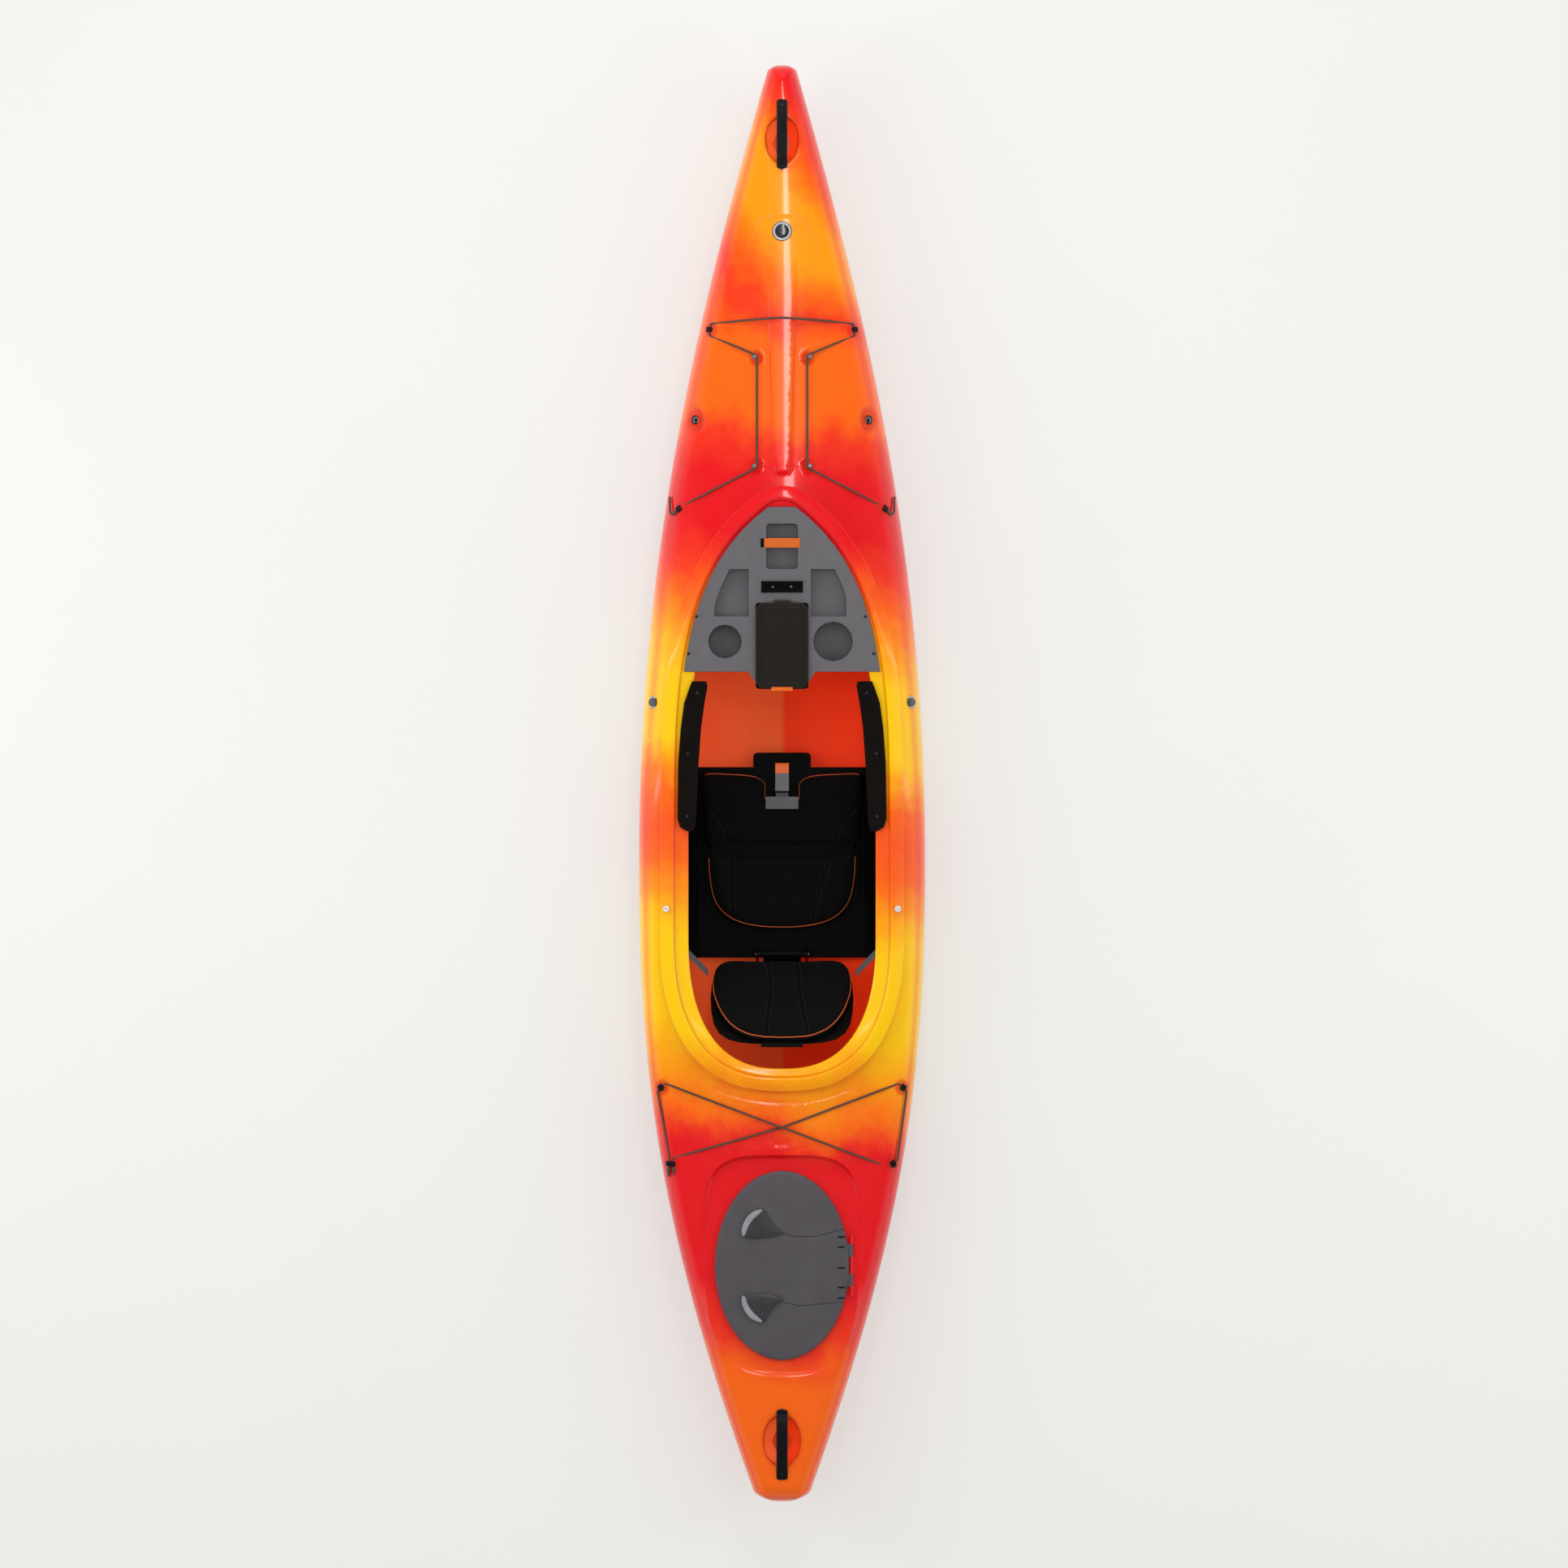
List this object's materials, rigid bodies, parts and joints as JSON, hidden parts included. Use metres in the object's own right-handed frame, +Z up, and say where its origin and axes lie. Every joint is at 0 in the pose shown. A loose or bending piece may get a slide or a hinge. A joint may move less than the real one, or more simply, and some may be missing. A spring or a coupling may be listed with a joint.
{
  "type": "recreational kayak",
  "caption": "Sit-inside recreational kayak with a large cockpit, dashboard, padded seat with leg lifter, deck bungees, an oval rear hatch and end handles.",
  "frame": {"origin": "on the keel line at midships, in the plane that the flat keel strip rests on", "axes": "+Y to the bow, +X to starboard, +Z up"},
  "size_m": [0.7616, 3.8086, 0.3904],
  "materials": {
    "shell": "rotomoulded polyethylene, blended red, orange and yellow",
    "grey": "satin",
    "lid": "satin",
    "black": "satin",
    "orange": "satin",
    "fitting": "satin",
    "steel": "polished",
    "badge": "satin",
    "cord": "woven sleeve",
    "fabric": "woven",
    "webbing": "woven",
    "foam": "matt",
    "rubber": "matt"
  },
  "bodies": {
    "boat": {"hull": "shell", "deck": "shell", "bow_handle": "black", "stern_handle": "black", "fore_bungee": "cord", "rear_bungee": "cord", "accessory_insert_left": "fitting", "accessory_insert_right": "fitting", "bow_badge": "badge", "side_badge_left": "badge", "side_badge_right": "badge", "thigh_brace_left": "black", "thigh_brace_right": "black", "seat_screw_left": "steel", "seat_screw_right": "steel", "seat_base": "black", "seat_cushion_rear": "fabric", "backrest_strap_left": "webbing", "backrest_strap_right": "webbing", "hatch_hinge": "black", "hatch_hinge_pin": "steel", "backrest_pin": "steel", "seat_hanger_left": "black", "seat_hanger_right": "black", "rear_bulkhead": "foam", "bow_pillar": "foam", "foot_rail_left": "black", "foot_rail_right": "black", "hatch_seal": "rubber", "pad_eye_fore_deck_fore_left": "fitting", "pad_eye_fore_deck_fore_right": "fitting", "pad_eye_fore_deck_aft_left": "fitting", "pad_eye_fore_deck_aft_right": "fitting", "pad_eye_rear_deck_fore_left": "fitting", "pad_eye_rear_deck_fore_right": "fitting", "pad_eye_rear_deck_aft_left": "fitting", "pad_eye_rear_deck_aft_right": "fitting", "cord_screw_fore_left": "steel", "cord_screw_fore_right": "steel", "cord_screw_aft_left": "steel", "cord_screw_aft_right": "steel"},
    "dashboard": {"dashboard": "grey", "pocket_strap": "orange", "accessory_rail": "black"},
    "dry_box": {"dry_box": "black", "dry_box_hinge_pin": "steel"},
    "dry_box_lid": {"dry_box_lid": "lid"},
    "dry_box_latch": {"dry_box_latch": "orange"},
    "leg_lifter": {"leg_lifter": "black", "seat_cushion_front": "fabric", "lifter_strap": "grey", "lifter_buckle": "black"},
    "lifter_lever": {"lifter_lever": "orange"},
    "backrest": {"backrest_pad": "fabric", "backrest_frame": "black"},
    "hatch_lid": {"hatch_lid": "grey"},
    "hatch_latch_front": {"hatch_latch_front": "black"},
    "hatch_latch_rear": {"hatch_latch_rear": "black"},
    "foot_pedal_left": {"foot_pedal_left": "black"},
    "foot_pedal_right": {"foot_pedal_right": "black"}
  },
  "joints": [
    {"name": "dashboard_lift", "type": "slide", "parent": "boat", "child": "dashboard", "axis": [0, -0.1191, 0.9929], "range_m": [0, 0.06]},
    {"name": "dry_box_lift", "type": "slide", "parent": "dashboard", "child": "dry_box", "axis": [0, -0.1191, 0.9929], "range_m": [0, 0.09]},
    {"name": "dry_box_lid_hinge", "type": "hinge", "parent": "dry_box", "child": "dry_box_lid", "pos_m": [0, 0.48362, 0.35727], "axis": [-1, 0, 0], "range_deg": [0, 100]},
    {"name": "dry_box_latch_hinge", "type": "hinge", "parent": "dry_box_lid", "child": "dry_box_latch", "pos_m": [0, 0.25632, 0.33866], "axis": [-1, 0, 0], "range_deg": [0, 75]},
    {"name": "leg_lifter_hinge", "type": "hinge", "parent": "boat", "child": "leg_lifter", "pos_m": [0, -0.176, 0.0528], "axis": [1, 0, 0], "range_deg": [0, 12]},
    {"name": "lifter_lever_hinge", "type": "hinge", "parent": "leg_lifter", "child": "lifter_lever", "pos_m": [0, -0.014, 0.09148], "axis": [1, 0, 0], "range_deg": [0, 50]},
    {"name": "backrest_recline", "type": "hinge", "parent": "boat", "child": "backrest", "pos_m": [0, -0.455, 0.1], "axis": [-1, 0, 0], "range_deg": [-5, 38], "deforming": ["backrest_strap_left", "backrest_strap_right"]},
    {"name": "hatch_lid_hinge", "type": "hinge", "parent": "boat", "child": "hatch_lid", "pos_m": [0.184, -1.27664, 0.27699], "axis": [0, 0.999, -0.045], "range_deg": [0, 110]},
    {"name": "hatch_latch_front_hinge", "type": "hinge", "parent": "hatch_lid", "child": "hatch_latch_front", "pos_m": [0.004, -1.16606, 0.28746], "axis": [0, 0.999, -0.045], "range_deg": [0, 50]},
    {"name": "hatch_latch_rear_hinge", "type": "hinge", "parent": "hatch_lid", "child": "hatch_latch_rear", "pos_m": [0.004, -1.38983, 0.29744], "axis": [0, 0.999, -0.045], "range_deg": [0, 50]},
    {"name": "foot_pedal_left_slide", "type": "slide", "parent": "boat", "child": "foot_pedal_left", "axis": [0.1365, 0.9906, 0], "range_m": [-0.12, 0.1]},
    {"name": "foot_pedal_right_slide", "type": "slide", "parent": "boat", "child": "foot_pedal_right", "axis": [-0.1367, 0.9906, 0], "range_m": [-0.12, 0.1]}
  ]
}
